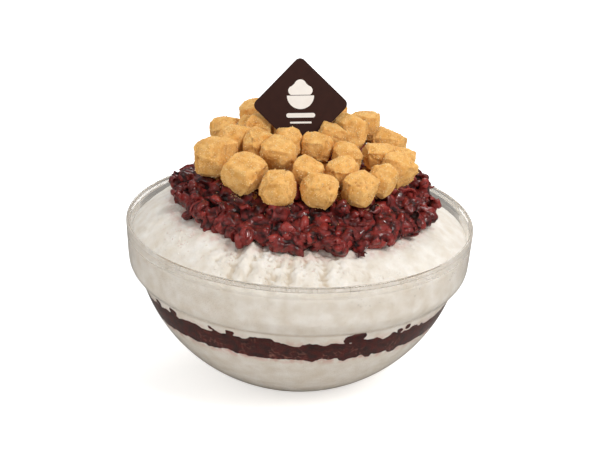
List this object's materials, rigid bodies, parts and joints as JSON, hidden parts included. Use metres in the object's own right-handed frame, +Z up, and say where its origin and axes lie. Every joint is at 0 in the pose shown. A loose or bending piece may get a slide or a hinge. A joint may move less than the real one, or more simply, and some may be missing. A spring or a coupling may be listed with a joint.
{
  "type": "bingsu in a glass bowl",
  "caption": "Shaved milk ice with red-bean layers in a clear glass bowl, topped with powdered rice cakes and a square tag stood on its corner.",
  "frame": {"origin": "centre of the bowl's flat foot, on the surface it stands on", "axes": "+Z up along the bowl's axis, -Y towards the front that the tag faces, +X to the viewer's right"},
  "size_m": [0.17, 0.17, 0.1558],
  "materials": {
    "clear_glass": "clear polished glass",
    "milk_ice": "fine fluffy shaved milk ice, warm white",
    "red_bean": "glossy sweet red-bean paste with whole beans",
    "soybean_powder": "soft rice cake dusted with roasted soybean powder",
    "tag_brown": "dark brown satin tag"
  },
  "bodies": {
    "root": {"bean_layer": "red_bean", "bean_topping": "red_bean", "bowl": "clear_glass", "ice_lower": "milk_ice", "ice_upper": "milk_ice", "rice_cake_01": "soybean_powder", "rice_cake_02": "soybean_powder", "rice_cake_03": "soybean_powder", "rice_cake_04": "soybean_powder", "rice_cake_05": "soybean_powder", "rice_cake_06": "soybean_powder", "rice_cake_07": "soybean_powder", "rice_cake_08": "soybean_powder", "rice_cake_09": "soybean_powder", "rice_cake_10": "soybean_powder", "rice_cake_11": "soybean_powder", "rice_cake_12": "soybean_powder", "rice_cake_13": "soybean_powder", "rice_cake_14": "soybean_powder", "rice_cake_15": "soybean_powder", "rice_cake_16": "soybean_powder", "rice_cake_17": "soybean_powder", "rice_cake_18": "soybean_powder", "rice_cake_19": "soybean_powder", "rice_cake_20": "soybean_powder", "rice_cake_21": "soybean_powder", "rice_cake_22": "soybean_powder", "rice_cake_23": "soybean_powder", "rice_cake_24": "soybean_powder", "rice_cake_25": "soybean_powder", "rice_cake_26": "soybean_powder", "rice_cake_27": "soybean_powder", "rice_cake_28": "soybean_powder", "rice_cake_29": "soybean_powder", "rice_cake_30": "soybean_powder", "rice_cake_31": "soybean_powder", "rice_cake_32": "soybean_powder", "rice_cake_33": "soybean_powder", "rice_cake_34": "soybean_powder", "tag": "tag_brown"}
  },
  "joints": []
}
